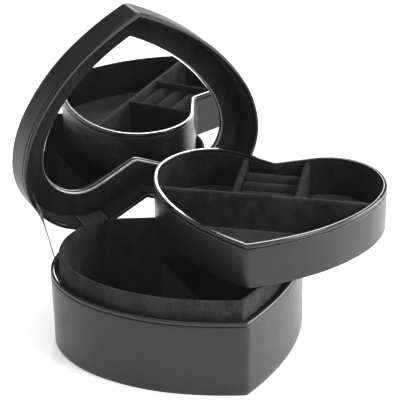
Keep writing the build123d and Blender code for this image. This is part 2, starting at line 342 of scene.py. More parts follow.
def seated(points, seat):
    """Points drawn in a heart's own axes, moved to where that heart sits."""
    turn = np.array(SEAT[seat])
    return np.array(points) @ turn[:3, :3].T + turn[:3, 3]


def bent_round(name, seat, section, tip_round, cleft_round=CLEFT_ROUND, change=None):
    """Bend a section, given as (inset, height) pairs, round the whole heart into one skin."""
    loops = []
    for inset, height in section:
        loop = heart_loop(inset, max(tip_round - inset, 0.0001), cleft_round + inset * 0.3)
        level = np.full((len(loop), 1), height)
        loops.append(np.hstack([loop, level]))
    if change:
        loops = change(loops, section)
    return mesh_piece(name, seated(np.vstack(loops), seat), skin_faces(len(loops), len(loops[0])))


def outward(loop):
    """Unit vectors that point out of a closed loop, one for each of its points."""
    ahead = np.roll(loop[:, :2], -1, axis=0) - np.roll(loop[:, :2], 1, axis=0)
    length = np.linalg.norm(ahead, axis=1, keepdims=True)
    return np.hstack([ahead[:, 1:2], -ahead[:, 0:1]]) / length


def wander(x, y, seed, waves):
    """Smooth drift between -1 and 1, with about this many waves in a metre."""
    return noise.noise(Vector((x * waves, y * waves, seed)))


def lapped_skin(seed, hollow):
    """Ripple a wrap gently, draw it hollow between its edges, and lap its ends by the cleft."""

    def change(loops, section):
        heights = np.array([h for _, h in section])
        low, high = heights.min(), heights.max()
        for loop, (inset, height) in zip(loops, section):
            if inset > LEATHER / 2:
                continue
            rise = (height - low) / (high - low)
            pull = 4 * rise * (1 - rise)
            out = outward(loop)
            for k, (x, y, _) in enumerate(loop):
                ripple = RIPPLE * wander(x, y, height * 40 + seed, 26) * pull
                past = x - LAP_START
                lap = 0
                if y >= LOBES_START_Y:
                    lap = min(max(past / LAP_RAMP, 0), 1) * max(0, 1 - max(past, 0) / LAP_WIDTH)
                loop[k, :2] += out[k] * (ripple - hollow * pull + LAP_STEP * lap)
        return loops

    return change


def wrap_section(top):
    """Section of a wrap: turned under at the foot, straight up, rolled in at the groove."""
    low, high = 0.0, top - BEAD_HEIGHT - GROOVE
    section = [(LEATHER, low), (0.00045, low), (0.00014, low + 0.00012), (0.0, low + 0.0006)]
    section += [(0.0, low + (high - low) * k / 16) for k in range(1, 16)]
    return section + [(0.0, high - 0.0006), (0.00012, high - 0.00016), (0.00045, high), (LEATHER, high)]


def lifted(section, inset, height):
    """Move a section inward and up."""
    return [(i + inset, h + height) for i, h in section]


wall_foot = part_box("base_wrap")[0].z
rim_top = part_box("base_rim_bead")[1].z
base_wrap = bent_round(
    "base_leatherette_wrap",
    "base",
    lifted(wrap_section(rim_top - wall_foot), 0, wall_foot),
    tip_round=WRAP_TIP,
    change=lapped_skin(3.1, 0.00025),
)
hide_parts("base_wrap")
dress(base_wrap, leather, "base")


# Rim bead of the base: leatherette drawn over the board's edge on a cord, pressed round,
# then turned down inside beside the collar. It is rubbed glossier than the walls.
bead_leather = leatherette("bead_leatherette", 0.2, 0.12, coat=0.3)
BEAD_WIDTH = 0.0028
BEAD_OUTER_ROUND = (0.0008, 0.0017)
BEAD_INNER_ROUND = (0.0005, 0.0008)
BEAD_TIP = 0.003
EDGE_RISE = 0.00012


def bead_section(turn_in):
    """Section of a bead, height 0 at its top: out of the groove, over, and down inside."""
    section = [(0.0016, -0.00285), (0.0007, -0.0028), (0.0003, -0.00262), (0.00008, -0.0023)]
    inward, down = BEAD_OUTER_ROUND
    for k in range(9):
        turn = math.pi / 2 * k / 8
        section.append((inward * (1 - math.cos(turn)), -down * (1 - math.sin(turn)) - 0.00003))
    section += [(0.0012, -0.00001), (0.0017, 0.0)]
    inward, down = BEAD_INNER_ROUND
    for k in range(6):
        turn = math.pi / 2 * k / 5
        inset = BEAD_WIDTH - inward * (1 - math.sin(turn))
        section.append((inset, -0.00002 - down * (1 - math.cos(turn))))
    return section + [(BEAD_WIDTH, -0.0021), (BEAD_WIDTH, -turn_in)]


def uneven_edge(seed, rise):
    """Let a rolled edge rise and fall a little along its length."""

    def change(loops, section):
        for loop in loops:
            for point in loop:
                point[2] += rise * wander(point[0], point[1], seed, 45)
        return loops

    return change


base_bead = bent_round(
    "base_bead",
    "base",
    lifted(bead_section(0.0066), 0, rim_top),
    tip_round=BEAD_TIP,
    change=uneven_edge(5.2, EDGE_RISE),
)
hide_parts("base_rim_bead")
dress(base_bead, bead_leather, "base")


# Collar: a second board hoop, held off the wall by a card spacer and covered in flocked
# velvet inside and out. Its soft top edge rises and falls a little.
def black_velvet(name, dark, light, brushing, glow):
    """Flocked velvet: dense short pile, brushed one way here and another there.

    brushing is how many brush marks there are in a metre, glow the sheen of the pile's tips."""
    finish, tree, shader = new_finish(name, dark, 1.0)
    pile = grain(tree, 2800, 5.0)
    tuft = grain(tree, 900, 4.0)
    brush = grain(tree, brushing, 6.0, (1.4, 1.2, 0.75), (0.7, 0.5, 0.2))
    patch = grain(tree, brushing / 3.2, 3.0, (1.2, 1.0, 0.9), (0.2, 0.6, 0))
    nap = blend_of(tree, (brush, 0.36), (patch, 0.28), (tuft, 0.36))
    paint(tree, shader, nap, dark, light, 0.42, 0.58)
    relief(tree, shader, [(nap, 0.0009), (tuft, 0.0003), (pile, 0.0002)])
    shader.inputs["Sheen Weight"].default_value = glow
    shader.inputs["Sheen Roughness"].default_value = 0.5
    shader.inputs["Sheen Tint"].default_value = (0.7, 0.7, 0.71, 1)
    shader.inputs["Specular IOR Level"].default_value = 0.12
    return finish


def blend_of(tree, *shares):
    """Mix several textures' values, each by its own share."""
    total = None
    for value, share in shares:
        step = tree.nodes.new("ShaderNodeMath")
        step.operation = "MULTIPLY_ADD"
        tree.links.new(value, step.inputs[0])
        step.inputs[1].default_value = share
        if total:
            tree.links.new(total, step.inputs[2])
        else:
            step.inputs[2].default_value = 0
        total = step.outputs[0]
    return total


collar_pile = black_velvet("collar_velvet", (0.007, 0.007, 0.0071), (0.038, 0.038, 0.0385), 75, 0.15)
cover("collar_board", black_board)
cover("collar_spacer", grey_card)
COLLAR_OUTER = 0.0061
COLLAR_THICK = 0.0026
COLLAR_TIP = 0.0085


def collar_section(top, outer_foot, inner_foot):
    """Section of the velvet over the collar's edge, outside to inside."""
    fold = COLLAR_THICK / 2
    steps = 8
    outside = [(COLLAR_OUTER, outer_foot + (top - fold - outer_foot) * k / steps) for k in range(steps)]
    over = []
    for k in range(9):
        turn = math.pi * k / 8
        over.append((COLLAR_OUTER + fold * (1 - math.cos(turn)), top - fold * (1 - math.sin(turn))))
    inner = COLLAR_OUTER + COLLAR_THICK
    inside = [(inner, top - fold + (inner_foot - top + fold) * k / 14) for k in range(1, 15)]
    return outside + over + inside


def soft_pile(seed, depth, rise):
    """Let velvet wander in and out, and its edge up and down, as glued cloth does."""

    def change(loops, section):
        for loop in loops:
            out = outward(loop)
            for k, point in enumerate(loop):
                point[:2] += out[k] * depth * wander(point[0], point[1], point[2] * 30 + seed, 38)
                point[2] += rise * wander(point[0], point[1], seed, 30)
        return loops

    return change


floor_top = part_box("base_floor_board")[1].z
collar_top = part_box("collar_velvet")[1].z
collar = bent_round(
    "collar_velvet_cover",
    "base",
    collar_section(collar_top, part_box("collar_spacer")[1].z, floor_top),
    tip_round=COLLAR_TIP,
    change=soft_pile(1.7, 0.00018, 0.00022),
)
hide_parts("collar_velvet")
dress(collar, collar_pile, "base")


# Base dividers: two boards in velvet sleeves, halved together where they cross and
# pushed down to the floor. The sleeves are rounded along the top.
velvet = black_velvet("black_velvet", (0.007, 0.007, 0.0071), (0.030, 0.030, 0.0305), 90, 0.15)
SLEEVE_STEP = 0.0022


def divider(name, seat, start, end, width, foot, top, seed):
    """A board in a velvet sleeve from start to end, round along its top edge."""
    start, end = np.array(start), np.array(end)
    length = np.linalg.norm(end - start)
    along = (end - start) / length
    across = np.array([-along[1], along[0]])
    steps = max(12, int(length / SLEEVE_STEP))
    round_top = width / 2
    section = [(-round_top, foot), (-round_top, foot + (top - foot) * 0.4), (-round_top, top - round_top)]
    section += [
        (-round_top * math.cos(math.pi * k / 8), top - round_top * (1 - math.sin(math.pi * k / 8)))
        for k in range(1, 8)
    ]
    section += [(-s, h) for s, h in section[2::-1]]
    points = []
    for step in range(steps + 1):
        middle = start + along * length * step / steps
        for side, height in section:
            spot = Vector((middle[0] * 60 + seed, middle[1] * 60, height * 60))
            swell = 1 + 0.10 * noise.noise(spot)
            lift = 0.0004 * noise.noise(spot * 0.7 + Vector((9, 0, 0))) * (height - foot) / (top - foot)
            place = middle + across * side * swell
            points.append((place[0], place[1], height + lift))
    count = len(section)
    faces = skin_faces(steps + 1, count, ring=False)
    faces += [tuple(range(count)), tuple(range(steps * count, (steps + 1) * count))[::-1]]
    return mesh_piece(name, seated(points, seat), faces)


def reach(inset, level_y):
    """Half the width of the heart's inside at one y."""
    half = half_heart(inset)
    widest = int(np.argmax(half[:, 0]))
    rising = half[: widest + 1] if level_y < half[widest, 1] else half[widest:][::-1]
    order = np.argsort(rising[:, 1])
    return float(np.interp(level_y, rising[order, 1], rising[order, 0]))


long_low, long_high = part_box("base_divider_long")
cross_low, cross_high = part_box("base_divider_cross")
base_divider = long_high.x - long_low.x
cross_y = (cross_low.y + cross_high.y) / 2
long_ends = (0, long_low.y + 0.0004), (0, long_high.y - 0.0002)
long_piece = divider("base_long_divider", "base", *long_ends, base_divider, floor_top, long_high.z, 2.0)
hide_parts("base_divider_long")
dress(long_piece, velvet, "base")
cross_ends = (cross_low.x, cross_y), (cross_high.x, cross_y)
cross_top = cross_high.z - 0.0004
cross_piece = divider("base_cross_divider", "base", *cross_ends, base_divider, floor_top, cross_top, 7.0)
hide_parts("base_divider_cross")
dress(cross_piece, velvet, "base")


# Base floor pads: thin foam under velvet, cut to each compartment and pressed in. They
# are a little fuller in the middle and rolled down at the edges.
BASE_FOAM, BASE_CROWN = 0.0024, 0.0009
INSIDE_ONLY, MERGE_WITHIN = 1, 1e-7
PAD_STEP = 0.0022
PAD_SHOULDER = 0.0016
PAD_SWELL = 0.016
PAD_WAVE = 0.0005
PAD_ROOM = 0.0002


def crowned_pad(name, seat, outline, foot, edge, crown, seed):
    """A pad filling an outline: upright rim, round shoulder and a softly swollen top."""
    outline = np.array(outline)
    low, high = outline.min(0), outline.max(0)
    across, along = (np.arange(low[k] + PAD_STEP / 2, high[k], PAD_STEP) for k in (0, 1))
    inner = np.array([(x, y) for x in across for y in along])
    nearest = distance_to(outline, inner)
    inner = inner[inside_of(outline, inner) & (nearest > PAD_STEP * 0.45)]
    flat = [Vector(p) for p in outline] + [Vector(p) for p in inner]
    count = len(outline)
    edges = [(k, (k + 1) % count) for k in range(count)]
    spots, _, faces = delaunay_2d_cdt(flat, edges, [tuple(range(count))], INSIDE_ONLY, MERGE_WITHIN)[:3]
    spots = np.array([tuple(p) for p in spots])
    depth = distance_to(outline, spots)
    points = []
    for (x, y), d in zip(spots, depth):
        shoulder = 1 - math.exp(-d / PAD_SHOULDER)
        swell = 1 - math.exp(-d / PAD_SWELL)
        wave = wander(x, y, seed, 42) * PAD_WAVE * swell
        points.append((x, y, foot + edge * (0.55 + 0.45 * shoulder) + crown * swell + wave))
    rim = len(points)
    points += [(x, y, foot) for x, y in outline]
    where = {tuple(np.round(p, 7)): k for k, p in enumerate(spots)}
    ring = [where[tuple(np.round(p, 7))] for p in outline]
    sides = [(rim + k, rim + (k + 1) % count, ring[(k + 1) % count], ring[k]) for k in range(count)]
    return mesh_piece(name, seated(points, seat), [tuple(f) for f in faces] + sides)


def inside_of(outline, points):
    """Which of the points lie inside the outline."""
    x, y = points[:, 0], points[:, 1]
    found = np.zeros(len(points), bool)
    for (x0, y0), (x1, y1) in zip(outline, np.roll(outline, -1, axis=0)):
        if y0 == y1:
            continue
        crosses = (y0 > y) != (y1 > y)
        found ^= crosses & (x < (x1 - x0) * (y - y0) / (y1 - y0) + x0)
    return found


def distance_to(outline, points):
    """How far each point is from the outline."""
    best = np.full(len(points), 1e9)
    for a, b in zip(outline, np.roll(outline, -1, axis=0)):
        step = b - a
        t = np.clip(((points - a) @ step) / max(step @ step, 1e-18), 0, 1)
        best = np.minimum(best, np.linalg.norm(points - a - t[:, None] * step, axis=1))
    return best


def cut_outline(inset, left, right, low, high):
    """The heart's inside, cut square at the given sides; None leaves a side as it is."""
    loop = heart_loop(inset, 0.0005, 0.0005)
    sides = (0, left, True), (0, right, False), (1, low, True), (1, high, False)
    for axis, limit, keep_above in sides:
        if limit is None:
            continue
        kept = []
        for a, b in zip(loop, np.roll(loop, -1, axis=0)):
            a_in = (a[axis] >= limit) == keep_above
            b_in = (b[axis] >= limit) == keep_above
            if a_in:
                kept.append(a)
            if a_in != b_in:
                kept.append(a + (b - a) * (limit - a[axis]) / (b[axis] - a[axis]))
        loop = np.array(kept)
    return even_steps(loop, 0.0018)


def even_steps(loop, spacing):
    """The same loop with its long sides divided and its crowded points thinned."""
    points = []
    for a, b in zip(loop, np.roll(loop, -1, axis=0)):
        length = np.linalg.norm(b - a)
        if length < 1e-6:
            continue
        steps = max(1, int(round(length / spacing)))
        for k in range(steps):
            points.append(a + (b - a) * k / steps)
    return np.round(np.array(points), 7)


base_inside = COLLAR_OUTER + COLLAR_THICK + 0.00025
half_gap = base_divider / 2 + PAD_ROOM
for side, sign in (("left", -1), ("right", 1)):
    for end, ahead in (("front", -1), ("back", 1)):
        shape = cut_outline(
            base_inside,
            half_gap if sign > 0 else None,
            -half_gap if sign < 0 else None,
            cross_y + half_gap if ahead > 0 else None,
            cross_y - half_gap if ahead < 0 else None,
        )
        name = f"base_floor_pad_{end}_{side}"
        pad = crowned_pad(name, "base", shape, floor_top, BASE_FOAM, BASE_CROWN, sign + 3 * ahead)
        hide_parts(f"base_pad_{end}_{side}")
        dress(pad, velvet, "base")


# Tray: a smaller heart with the same wrap and bead, a felt cover under its floor, and
# velvet glued inside, painted darker than the collar's as painted shade. It lies turned across the
# collar.
# A darker copy of the velvet with less sheen, as painted shade: it covers the tray's lining, side
# dividers and rolls, and the lid's lining and mirror panel.
painted_shade_pile = black_velvet("painted_shade_velvet", (0.003, 0.003, 0.0031), (0.015, 0.015, 0.0155), 90, 0.06)
tray_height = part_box("tray_rim_bead")[1].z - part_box("tray_wrap")[0].z
cover("tray_under_cover", felt)
tray_wrap = bent_round(
    "tray_leatherette_wrap",
    "tray",
    lifted(wrap_section(tray_height), TRAY_INSET, 0),
    tip_round=WRAP_TIP + TRAY_INSET,
    change=lapped_skin(8.4, 0.0003),
)
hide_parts("tray_wrap")
dress(tray_wrap, leather, "tray")
tray_bead = bent_round(
    "tray_bead",
    "tray",
    lifted(bead_section(0.003), TRAY_INSET, tray_height),
    tip_round=BEAD_TIP + TRAY_INSET,
    change=uneven_edge(2.2, EDGE_RISE),
)
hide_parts("tray_rim_bead")
dress(tray_bead, bead_leather, "tray")
TRAY_LINED = TRAY_INSET + 0.0033
tray_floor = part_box("tray_floor_board")[1].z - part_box("tray_wrap")[0].z
lining_top = tray_height - 0.0022
lining_drop = (lining_top - tray_floor) / 12
tray_lining = bent_round(
    "tray_velvet_lining",
    "tray",
    [(TRAY_LINED - 0.0006, lining_top + 0.0003), (TRAY_LINED - 0.0001, lining_top)]
    + [(TRAY_LINED, lining_top - lining_drop * k) for k in range(1, 13)],
    tip_round=0.0005 + TRAY_LINED,
    change=soft_pile(4.4, 0.00016, 0.0),
)
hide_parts("tray_lining")
# The tray's lining takes the darker velvet copy, which is painted shade.
dress(tray_lining, painted_shade_pile, "tray")


# Tray dividers: one velvet sleeved board from wall to wall, and two that butt against
# it and run back to the lobes, leaving room for rings between them.
TRAY_DIVIDER = 0.004
LONG_Y = 0.006
SIDE_X = 0.0215
tray_divider_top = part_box("tray_divider_long")[1].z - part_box("tray_wrap")[0].z
long_half = reach(TRAY_LINED, LONG_Y) - 0.0001
tray_long_ends = (-long_half, LONG_Y), (long_half, LONG_Y)
tray_long = divider(
    "tray_long_divider", "tray", *tray_long_ends, TRAY_DIVIDER, tray_floor, tray_divider_top, 4.0
)
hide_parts("tray_divider_long")
dress(tray_long, velvet, "tray")


def lobe_top(inset, level_x):
    """The back of the heart at one x, over the top of the lobe."""
    half = half_heart(inset)
    top = half[int(np.argmax(half[:, 0])) :]
    order = np.argsort(top[:, 0])
    return float(np.interp(level_x, top[order, 0], top[order, 1]))


# The side dividers take the darker velvet copy, which is painted shade.
for side, sign in (("left", -1), ("right", 1)):
    side_piece = divider(
        f"tray_side_divider_{side}",
        "tray",
        (sign * SIDE_X, LONG_Y + TRAY_DIVIDER * 0.3),
        (sign * SIDE_X, lobe_top(TRAY_LINED, SIDE_X) + 0.0006),
        TRAY_DIVIDER,
        tray_floor,
        tray_divider_top,
        5.0 + sign,
    )
    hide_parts(f"tray_divider_{side}")
    dress(side_piece, painted_shade_pile, "tray")


# Ring rolls: firm foam strips with a round top in velvet, side by side, so that a ring
# is held in the slit between two of them. Their ends are tucked and rounded.
ROLL_WIDTH = 0.013
ROLL_PITCH = 0.0132
ROLL_TOP = 0.0268
ROLL_LENGTH = 2 * (SIDE_X - TRAY_DIVIDER / 2 - PAD_ROOM)
ROLL_END = 0.0028
ROLL_STEPS, ROLL_AROUND = 30, 22


def ring_roll(name, middle_y, seed):
    """One roll: a round topped loaf, drawn in at its two ends."""
    half_width, half_length = ROLL_WIDTH / 2 - 0.0001, ROLL_LENGTH / 2
    steps, around = ROLL_STEPS, ROLL_AROUND
    points = []
    for step in range(steps + 1):
        x = half_length * math.sin(math.pi * (step / steps - 0.5))
        near_end = max(0.0, (abs(x) - half_length + ROLL_END) / ROLL_END)
        drawn = math.sqrt(max(0.0, 1 - near_end**2))
        top = tray_floor + (ROLL_TOP - tray_floor) * (0.88 + 0.12 * drawn)
        for k in range(around + 1):
            turn = math.pi * k / around
            side = -half_width * math.cos(turn)
            height = top - half_width + half_width * math.sin(turn)
            spot = Vector((x * 120, (middle_y + side) * 120, height * 90 + seed))
            swell = 1 + 0.05 * noise.noise(spot)
            points.append((x, middle_y + side * swell * (0.95 + 0.05 * drawn), height))
        wall = half_width * (0.95 + 0.05 * drawn)
        for side, share in ((1, 0.6), (1, 0.0), (-1, 0.0), (-1, 0.6)):
            height = tray_floor + (top - half_width - tray_floor) * share
            points.append((x, middle_y + side * wall, height))
    count = around + 5
    faces = skin_faces(steps + 1, count)
    faces += [tuple(range(count))[::-1], tuple(range(steps * count, (steps + 1) * count))]
    return mesh_piece(name, seated(points, "tray"), faces)


# The rolls take the darker velvet copy, which is painted shade.
for number in range(3):
    roll_y = LONG_Y + TRAY_DIVIDER / 2 + 0.0003 + ROLL_WIDTH / 2 + number * ROLL_PITCH
    roll = ring_roll(f"velvet_ring_roll_{number + 1}", roll_y, number * 3.0)
    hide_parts(f"ring_roll_{number + 1}")
    dress(roll, painted_shade_pile, "tray")


# Tray floor pads: velvet over thin foam in both lobes and in the wide front compartment,
# cut to fit and pressed in against the lining.
TRAY_FOAM, TRAY_CROWN = 0.0034, 0.0010
tray_inside = TRAY_LINED + PAD_ROOM
lobe_x = SIDE_X + TRAY_DIVIDER / 2 + PAD_ROOM
lobe_y = LONG_Y + TRAY_DIVIDER / 2 + PAD_ROOM
front_y = LONG_Y - TRAY_DIVIDER / 2 - PAD_ROOM
for name, limits in {
    "left": (None, -lobe_x, lobe_y, None),
    "right": (lobe_x, None, lobe_y, None),
    "front": (None, None, None, front_y),
}.items():
    shape = cut_outline(tray_inside, *limits)
    pad = crowned_pad(
        f"tray_floor_pad_{name}", "tray", shape, tray_floor, TRAY_FOAM, TRAY_CROWN, len(name)
    )
    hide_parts(f"tray_pad_{name}")
    dress(pad, velvet, "tray")


# Lid: a shallow heart with the same wrap drawn over its back, a little duller than the
# base's, a bead round its rim, and velvet glued inside its wall. Its sections give depths
# back from the rim.
LID_DEPTH = 0.0248
lid_leather = leatherette("lid_leatherette", 0.32, 0.9, coat=0.04, shine=0.36)


def lid_wrap_section():
    """Section of the lid's wrap: from the groove back along the wall and over the edge."""
    first, back = BEAD_HEIGHT + GROOVE, LID_DEPTH
    section = [(LEATHER, first), (0.00045, first), (0.00012, first + 0.00016), (0.0, first + 0.0006)]
    soft = 0.0018
    section += [(0.0, first + 0.0006 + (back - soft - first - 0.0006) * k / 10) for k in range(1, 11)]
    for k in range(1, 9):
        turn = math.pi / 2 * k / 8
        section.append((soft * (1 - math.cos(turn)), back - soft * (1 - math.sin(turn))))
    section += [(0.004 + 0.0022 * k, back) for k in range(16)]
    return section


def closed_back(loops, section):
    """Draw the lid's wrap hollow along the wall, and let its back swell and ripple a little."""
    for loop, (inset, depth) in zip(loops, section):
        out = outward(loop)
        along = (depth - BEAD_HEIGHT) / (LID_DEPTH - BEAD_HEIGHT)
        pull = 4 * along * (1 - along) if inset < 0.0004 else 0
        for k, point in enumerate(loop):
            ripple = wander(point[0], point[1], depth * 40 + 6, 26)
            point[:2] += out[k] * (0.0002 * ripple - 0.0002) * pull
            if inset > 0.003:
                point[2] += 0.0001 * wander(point[0], point[1], 2.0, 30)
    return loops


lid_wrap = bent_round(
    "lid_leatherette_wrap", "lid", lid_wrap_section(), tip_round=WRAP_TIP, change=closed_back
)


def close_middle(piece, count):
    """Fill the hole left in the last loop of a skin with one flat patch of triangles."""
    mesh = piece.data
    last = len(mesh.vertices) - count
    points = [tuple(v.co) for v in mesh.vertices]
    local = SEAT["lid"].inverted()
    flat = [(local @ Vector(points[last + k])).xy for k in range(count)]
    edges = [(k, (k + 1) % count) for k in range(count)]
    fill = delaunay_2d_cdt(flat, edges, [tuple(range(count))], INSIDE_ONLY, MERGE_WITHIN)[2]
    faces = [tuple(p.vertices) for p in mesh.polygons]
    faces += [tuple(last + v for v in f) for f in fill]
    mesh.clear_geometry()
    mesh.from_pydata(points, [], faces)
    mesh.validate()


close_middle(lid_wrap, len(heart_loop(0)))
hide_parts("lid_wrap")
dress(lid_wrap, lid_leather, "lid")
lid_bead_section = [(inset, -height) for inset, height in bead_section(0.0034)]
lid_bead = bent_round("lid_bead", "lid", lid_bead_section, tip_round=BEAD_TIP)
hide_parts("lid_rim_bead")
dress(lid_bead, bead_leather, "lid")
LID_LINED = LEATHER + BOARD + 0.0008
PANEL_FRONT = 0.0173
lid_lining = bent_round(
    "lid_velvet_lining",
    "lid",
    [(LID_LINED - 0.0007, 0.0020), (LID_LINED - 0.0001, 0.0022)]
    + [(LID_LINED, 0.0024 + (PANEL_FRONT - 0.0020) * k / 8) for k in range(9)],
    tip_round=0.0005 + LID_LINED,
    change=soft_pile(6.1, 0.00014, 0.0),
)
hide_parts("lid_lining")
# The lid's lining takes the darker velvet copy, which is painted shade.
dress(lid_lining, painted_shade_pile, "lid")


# Mirror panel: a board with a heart cut out of it, covered in velvet that is turned in
# round the opening, and pressed into the lid over the mirror.
PANEL_OPENING = 0.0205
OPENING_ROUND = 0.0011
OPENING_CLEFT = 0.0015
MIRROR_FRONT = 0.0203
panel_section = [(LID_LINED - 0.0002, PANEL_FRONT + 0.0010)]
panel_section += [(LID_LINED + 0.0006, PANEL_FRONT + 0.0002), (LID_LINED + 0.0018, PANEL_FRONT)]
panel_run = PANEL_OPENING - 0.0012 - LID_LINED - 0.0018
panel_section += [(LID_LINED + 0.0018 + panel_run * k / 8, PANEL_FRONT) for k in range(1, 9)]
for quarter in range(1, 7):
    turn = math.pi / 2 * quarter / 6
    panel_section.append(
        (
            PANEL_OPENING - OPENING_ROUND * (1 - math.sin(turn)),
            PANEL_FRONT + OPENING_ROUND * (1 - math.cos(turn)),
        )
    )
panel_section += [(PANEL_OPENING, PANEL_FRONT + OPENING_ROUND + 0.0005 * k) for k in range(1, 5)]
mirror_panel = bent_round(
    "mirror_velvet_panel",
    "lid",
    panel_section,
    tip_round=0.0225,
    cleft_round=OPENING_CLEFT,
    change=soft_pile(9.3, 0.0, 0.00012),
)
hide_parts("mirror_panel")
# The mirror panel takes the darker velvet copy, which is painted shade.
dress(mirror_panel, painted_shade_pile, "lid")


# Opening trim: a narrow strip of silver edging foil, folded over the raw edge of the
# panel's opening and running down to the mirror, which doubles it.
def edging_foil():
    """Bright metallised foil, a little crushed where it is folded."""
    finish, tree, shader = new_finish("silver_edging_foil", (0.5, 0.5, 0.51), 0.4, 0.4)
    crush = grain(tree, 420, 4.0, (1, 1, 0.4))
    tree.links.new(between(tree, crush, 0.36, 0.5), shader.inputs["Roughness"])
    paint(tree, shader, crush, (0.42, 0.42, 0.43), (0.56, 0.56, 0.57))
    relief(tree, shader, [(crush, 0.00004)])
    return finish


trim_section = [(PANEL_OPENING - 0.0004, PANEL_FRONT + 0.0002)]
trim_section += [(PANEL_OPENING + 0.00005, PANEL_FRONT + 0.0009)]
trim_section += [(PANEL_OPENING + 0.00012, PANEL_FRONT + 0.0009 + 0.0003 * k) for k in range(1, 5)]
trim = bent_round(
    "mirror_opening_trim",
    "lid",
    trim_section,
    tip_round=0.0213,
    cleft_round=OPENING_CLEFT,
    change=soft_pile(3.3, 0.00005, 0.0),
)
dress(trim, edging_foil(), "lid")


# Mirror: silvered glass cut to a heart, its front edge ground to a bright bevel. It is
# held between the panel and the backing card.
def silvered_glass(name, roughness):
    """Mirror silver with the faintest film of dust in it."""
    finish, tree, shader = new_finish(name, (0.9, 0.905, 0.91), roughness, 1.0)
    film = grain(tree, 60, 4.0)
    tree.links.new(between(tree, film, roughness, roughness + 0.012), shader.inputs["Roughness"])
    paint(tree, shader, film, (0.88, 0.885, 0.89), (0.92, 0.925, 0.93))
    return finish


MIRROR_EDGE = PANEL_OPENING + 0.0003
BEVEL = 0.0009
glass_loops = [
    (MIRROR_EDGE, MIRROR_FRONT + 0.0013),
    (MIRROR_EDGE, MIRROR_FRONT + 0.00012),
    (MIRROR_EDGE + BEVEL, MIRROR_FRONT),
    (MIRROR_EDGE + BEVEL + 0.0002, MIRROR_FRONT),
]
mirror = bent_round("mirror_glass", "lid", glass_loops, tip_round=0.0216, cleft_round=0.0006)
close_middle(mirror, len(heart_loop(0)))
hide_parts("mirror_pane")
dress(mirror, silvered_glass("silvered_glass", 0.004), "lid")
mirror.data.polygons.foreach_set("use_smooth", [False] * len(mirror.data.polygons))


# Hinge straps: black book cloth, one in each lobe, glued down inside the base wall and
# up over the lid's lining. The open lid bends them between the two.
def woven_cloth():
    """Plain woven book cloth: fine crossed threads."""
    finish, tree, shader = new_finish("black_book_cloth", (0.02, 0.02, 0.02), 0.8)
    place = tree.nodes.new("ShaderNodeTexCoord")
    threads = []
    for direction in ("X", "Z"):
        wave = tree.nodes.new("ShaderNodeTexWave")
        wave.bands_direction = direction
        wave.inputs["Scale"].default_value = 600
        tree.links.new(place.outputs["Object"], wave.inputs["Vector"])
        threads.append(wave.outputs["Fac"])
    weave = tree.nodes.new("ShaderNodeMath")
    weave.operation = "MULTIPLY"
    tree.links.new(threads[0], weave.inputs[0])
    tree.links.new(threads[1], weave.inputs[1])
    paint(tree, shader, weave.outputs[0], (0.012, 0.012, 0.012), (0.05, 0.05, 0.05), 0.0, 1.0)
    relief(tree, shader, [(weave.outputs[0], 0.00008)])
    return finish


def loose_threads():
    """Cut edge of the cloth, where pale threads have come loose."""
    finish, tree, shader = new_finish("frayed_cloth_edge", (0.08, 0.08, 0.08), 0.9)
    thread = grain(tree, 700, 5.0)
    paint(tree, shader, thread, (0.03, 0.03, 0.03), (0.22, 0.22, 0.22))
    relief(tree, shader, [(thread, 0.0002)])
    return finish


book_cloth = woven_cloth()
frayed_edge = loose_threads()
STRAP_WIDTH = 0.018
STRAP_THREADS = (0, 0.03, 0.10, 0.2, 0.3, 0.4, 0.5, 0.6, 0.7, 0.8, 0.90, 0.97, 1)
STRAP_STEPS = 34
STRAP_THICK = 0.0005
OFF_THE_WALL, ON_THE_LID = 0.3, 0.55


def strap(name, side):
    """One strap, from inside the base wall up and back along the lid's lining, and its length."""
    base_low, base_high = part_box(f"hinge_strap_{side}_base_half")
    lid_low, lid_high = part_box(f"hinge_strap_{side}_lid_half")
    middle = (base_low.x + base_high.x) / 2
    rows = []
    for step in range(STRAP_STEPS + 1):
        row = []
        for thread in STRAP_THREADS:
            x = middle + STRAP_WIDTH * (thread - 0.5)
            wall_y = lobe_top(LEATHER + BOARD + 0.0004, abs(x))
            lining = SEAT["lid"] @ Vector((x, lobe_top(LID_LINED + 0.0005, abs(x)), 0.0))
            foot = Vector((x, wall_y, base_low.z))
            rise = Vector((x, wall_y, base_high.z + 0.001))
            lip = Vector((x, lid_low.y - 0.0005, lining.z + 0.0001))
            far = Vector((x, lid_high.y, lining.z))
            row.append(path_point((foot, rise, lip, far), step / STRAP_STEPS))
        rows.append(row)
    line = [row[len(row) // 2] for row in rows]
    length = sum((b - a).length for a, b in zip(line, line[1:]))
    return ribbon_skin(name, rows, STRAP_THICK), length


def path_point(corners, t):
    """A point along a soft curve led by corner points."""
    a, b, c, d = corners
    if t < OFF_THE_WALL:
        return a.lerp(b, t / OFF_THE_WALL)
    if t > ON_THE_LID:
        return c.lerp(d, (t - ON_THE_LID) / (1 - ON_THE_LID))
    s = (t - OFF_THE_WALL) / (ON_THE_LID - OFF_THE_WALL)
    lead_b, lead_c = b + (b - a) * 0.5, c + (c - d) * 0.25
    return b * (1 - s) ** 3 + lead_b * 3 * s * (1 - s) ** 2 + lead_c * 3 * s * s * (1 - s) + c * s**3


